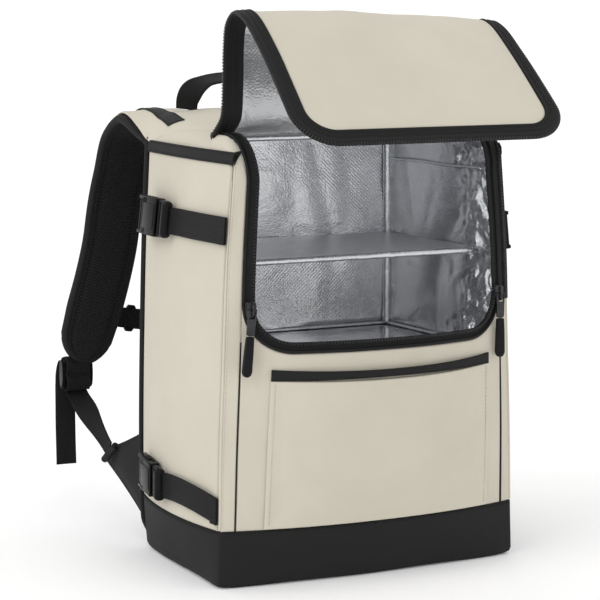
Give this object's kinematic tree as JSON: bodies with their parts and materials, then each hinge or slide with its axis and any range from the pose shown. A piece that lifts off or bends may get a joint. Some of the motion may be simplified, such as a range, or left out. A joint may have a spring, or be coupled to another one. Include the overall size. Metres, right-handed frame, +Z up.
{
  "type": "insulated delivery backpack",
  "caption": "Boxy insulated backpack standing with its zipped lid thrown open, foil lined with a shelf, and with padded shoulder straps, side straps, a front pocket and a carry handle.",
  "frame": {"origin": "middle of the underside of the base, on the surface that the bag stands on", "axes": "+X to the right seen from the front, +Y towards the wearer's back, +Z up"},
  "size_m": [0.433, 0.526, 0.6055],
  "materials": {
    "cream_fabric": "fine woven polyester, matte",
    "black_fabric": "woven polyester, matte",
    "mesh_fabric": "padded air mesh, matte",
    "webbing": "ribbed webbing, matte",
    "foil": "aluminised film on foam, embossed, shiny",
    "black_plastic": "moulded, satin",
    "gunmetal": "dark plated",
    "black_rubber": "moulded, satin"
  },
  "bodies": {
    "bag": {"base_boot": "black_fabric", "side_panel_left": "cream_fabric", "side_panel_right": "cream_fabric", "front_gusset_left": "cream_fabric", "front_gusset_right": "cream_fabric", "front_panel": "cream_fabric", "top_panel": "cream_fabric", "top_band_left": "black_fabric", "top_band_right": "black_fabric", "back_panel": "mesh_fabric", "back_piping_left": "black_fabric", "back_piping_right": "black_fabric", "lining_left": "foil", "lining_right": "foil", "lining_back": "foil", "lining_top": "foil", "lining_floor": "foil", "shelf": "foil", "zip_tape_left": "black_fabric", "zip_tape_right": "black_fabric", "opening_binding": "black_fabric", "pocket_panel": "cream_fabric", "pocket_binding": "black_fabric", "lid_outer": "cream_fabric", "lid_lining": "foil", "lid_binding": "black_fabric", "zip_slider_left": "gunmetal", "zip_slider_right": "gunmetal", "side_plug_upper_left": "black_plastic", "side_socket_upper_left": "black_plastic", "side_web_upper_left": "webbing", "side_plug_lower_left": "black_plastic", "side_socket_lower_left": "black_plastic", "side_web_lower_left": "webbing", "side_plug_upper_right": "black_plastic", "side_socket_upper_right": "black_plastic", "side_web_upper_right": "webbing", "side_plug_lower_right": "black_plastic", "side_socket_lower_right": "black_plastic", "side_web_lower_right": "webbing", "strap_pad_left": "mesh_fabric", "strap_pad_right": "mesh_fabric", "strap_cover_left": "cream_fabric", "strap_cover_right": "cream_fabric", "strap_strip_left": "webbing", "strap_strip_right": "webbing", "ladder_lock_left": "black_plastic", "ladder_lock_right": "black_plastic", "strap_web_left": "webbing", "strap_web_right": "webbing", "strap_wing_left": "black_fabric", "strap_wing_right": "black_fabric", "sternum_strap_left": "webbing", "sternum_strap_right": "webbing", "sternum_buckle": "black_plastic", "carry_handle": "webbing"},
    "pull_left": {"zip_pull_left": "gunmetal", "zip_grip_left": "black_rubber"},
    "pull_right": {"zip_pull_right": "gunmetal", "zip_grip_right": "black_rubber"}
  },
  "joints": [
    {"name": "pull_left_swing", "type": "hinge", "parent": "bag", "child": "pull_left", "pos_m": [-0.14986, -0.12118, 0.297], "axis": [-0.9945, 0, 0.1045], "range_deg": [0, 165]},
    {"name": "pull_right_swing", "type": "hinge", "parent": "bag", "child": "pull_right", "pos_m": [0.14986, -0.12118, 0.297], "axis": [-1, 0, 0], "range_deg": [0, 165]}
  ]
}
